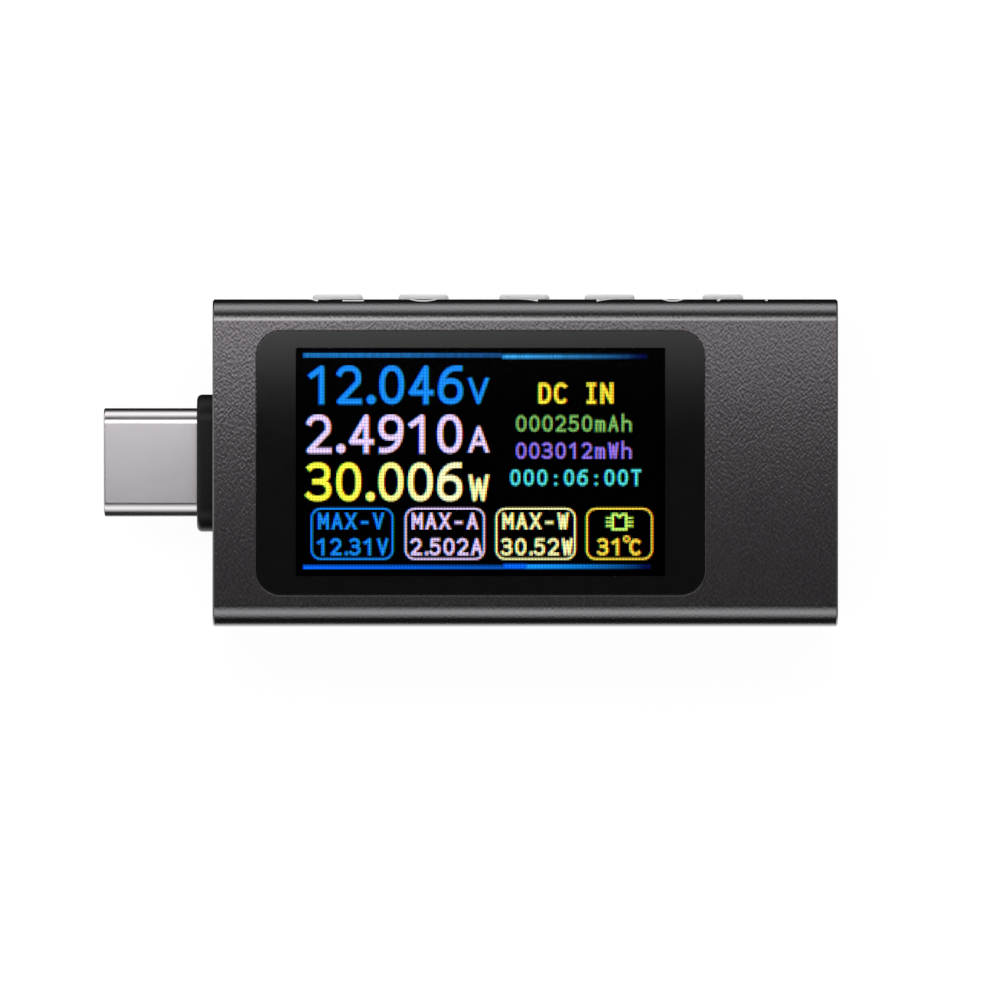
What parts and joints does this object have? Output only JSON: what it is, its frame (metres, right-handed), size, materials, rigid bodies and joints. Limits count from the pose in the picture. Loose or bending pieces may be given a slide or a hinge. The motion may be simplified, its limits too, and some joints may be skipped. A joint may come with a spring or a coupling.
{
  "type": "usb power meter",
  "caption": "Pocket inline USB-C power meter: metal sleeve, plug at one end and receptacle at the other, lit display window, side keys and slide switch.",
  "frame": {"origin": "centre of the sleeve's back face, on which the meter lies", "axes": "+Z out of the display, +X from the plug to the receptacle, +Y to the side with the keys"},
  "size_m": [0.055, 0.0248, 0.0105],
  "materials": {
    "sleeve": "dark grey anodised, fine-textured satin",
    "cap_plastic": "black satin moulded",
    "key_plastic": "light grey satin moulded",
    "window_glass": "clear polished, black border printed behind",
    "tape": "black adhesive tape",
    "display": "black panel, lit colour picture",
    "white_plastic": "white moulded",
    "flex": "amber polyimide film",
    "board": "green solder mask on glass-epoxy laminate",
    "chip": "black moulded package",
    "ferrite": "dark grey moulded ferrite",
    "capacitor": "ochre moulded, tinned ends",
    "shunt": "copper alloy strip",
    "foam": "black foam",
    "steel": "drawn stainless steel, satin",
    "connector_plastic": "black glass-filled plastic",
    "contacts": "gold-plated contacts"
  },
  "bodies": {
    "meter": {"housing_sleeve": "sleeve", "plug_end_cap": "cap_plastic", "port_end_cap": "cap_plastic", "display_window": "window_glass", "window_tape": "tape", "display_panel": "display", "display_backlight": "white_plastic", "display_flex": "flex", "flex_socket": "white_plastic", "main_board": "board", "microcontroller": "chip", "flash_memory": "chip", "clock_crystal": "steel", "measuring_chip": "chip", "shunt_resistor": "shunt", "protocol_chip": "chip", "power_inductor": "ferrite", "voltage_regulator": "chip", "input_capacitor": "capacitor", "output_capacitor": "capacitor", "bus_transistor_a": "chip", "bus_transistor_b": "chip", "display_foam_left": "foam", "display_foam_right": "foam", "insulating_film": "flex", "plug_shell": "steel", "plug_liner": "connector_plastic", "plug_contacts_upper": "contacts", "plug_contacts_lower": "contacts", "plug_latch": "steel", "receptacle_shell": "steel", "receptacle_block": "connector_plastic", "receptacle_tongue": "connector_plastic", "slide_switch": "steel", "back_switch": "steel", "ok_switch": "steel", "left_switch": "steel", "right_switch": "steel"},
    "back_key": {"back_button": "key_plastic", "back_plunger": "connector_plastic"},
    "ok_key": {"ok_button": "key_plastic", "ok_plunger": "connector_plastic"},
    "left_key": {"left_button": "key_plastic", "left_plunger": "connector_plastic"},
    "right_key": {"right_button": "key_plastic", "right_plunger": "connector_plastic"},
    "switch_slider": {"slide_knob": "key_plastic", "slide_lever": "connector_plastic"}
  },
  "joints": [
    {"name": "back_press", "type": "slide", "parent": "meter", "child": "back_key", "axis": [0, -1, 0], "range_m": [0, 0.00025], "stiffness_N_per_m": 2000, "springref_m": -0.0003},
    {"name": "ok_press", "type": "slide", "parent": "meter", "child": "ok_key", "axis": [0, -1, 0], "range_m": [0, 0.00025], "stiffness_N_per_m": 2000, "springref_m": -0.0003},
    {"name": "left_press", "type": "slide", "parent": "meter", "child": "left_key", "axis": [0, -1, 0], "range_m": [0, 0.00025], "stiffness_N_per_m": 2000, "springref_m": -0.0003},
    {"name": "right_press", "type": "slide", "parent": "meter", "child": "right_key", "axis": [0, -1, 0], "range_m": [0, 0.00025], "stiffness_N_per_m": 2000, "springref_m": -0.0003},
    {"name": "power_slide", "type": "slide", "parent": "meter", "child": "switch_slider", "axis": [-1, 0, 0], "range_m": [0, 0.0015]}
  ]
}
